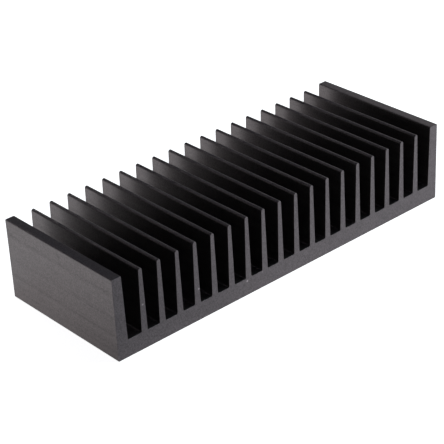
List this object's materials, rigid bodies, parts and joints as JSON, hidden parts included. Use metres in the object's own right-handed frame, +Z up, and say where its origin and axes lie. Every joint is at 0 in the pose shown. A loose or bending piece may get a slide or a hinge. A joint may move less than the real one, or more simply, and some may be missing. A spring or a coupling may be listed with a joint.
{
  "type": "extruded heat sink",
  "caption": "Wide, low black anodised aluminium heat sink: a thick flat base with tapered upright fins between two thicker end walls, for cooling electronics.",
  "frame": {"origin": "centre of the flat mounting face under the base", "axes": "+X across the fins, +Y along the extrusion and the gaps, +Z up from the mounting face to the fin tips"},
  "size_m": [0.2, 0.075, 0.04],
  "materials": {
    "black_anodised": "satin black anodised, with fine die lines along the extrusion and sawn end faces"
  },
  "bodies": {
    "root": {"heat_sink": "black_anodised"}
  },
  "joints": []
}
